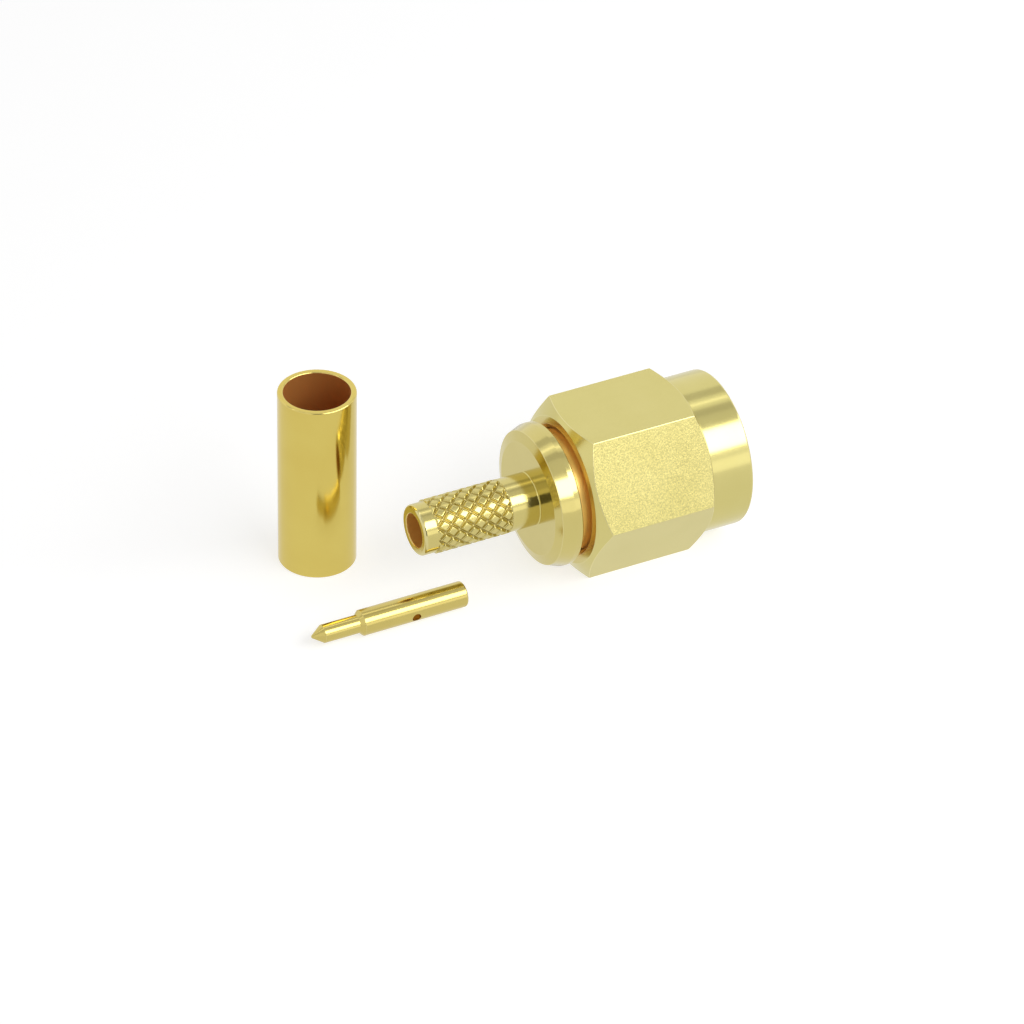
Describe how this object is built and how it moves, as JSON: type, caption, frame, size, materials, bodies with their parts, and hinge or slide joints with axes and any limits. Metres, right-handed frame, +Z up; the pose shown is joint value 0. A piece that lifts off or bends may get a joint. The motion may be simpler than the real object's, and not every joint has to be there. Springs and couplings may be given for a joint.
{
  "type": "coaxial crimp plug",
  "caption": "Gold-plated coaxial crimp plug: hexagonal coupling nut, knurled crimp tail, loose centre contact and crimp ferrule.",
  "frame": {"origin": "on the connector's axis, in the face that mated outer contacts share", "axes": "+X along the connector's axis, out of its mating end; +Z up, square to the hexagon's top flat; +Y across"},
  "size_m": [0.0229, 0.0118, 0.0098],
  "materials": {
    "connector_body": "gold plated, polished",
    "coupling_nut": "gold plated, satin flats and polished collar",
    "snap_ring": "plain spring bronze",
    "gasket": "matt silicone",
    "dielectric": "matt white fluoropolymer",
    "center_contact": "gold plated, polished",
    "crimp_ferrule": "gold plated, polished"
  },
  "bodies": {
    "plug_body": {"connector_body": "connector_body", "dielectric": "dielectric", "gasket": "gasket", "center_contact": "center_contact", "crimp_ferrule": "crimp_ferrule"},
    "retainer": {"snap_ring": "snap_ring"},
    "nut": {"coupling_nut": "coupling_nut"}
  },
  "joints": [
    {"name": "nut_float", "type": "slide", "parent": "plug_body", "child": "retainer", "axis": [1, 0, 0], "range_m": [-0.0001, 0.0001]},
    {"name": "nut_spin", "type": "hinge", "parent": "retainer", "child": "nut", "pos_m": [-0.00425, 0, 0], "axis": [1, 0, 0], "continuous": true}
  ]
}
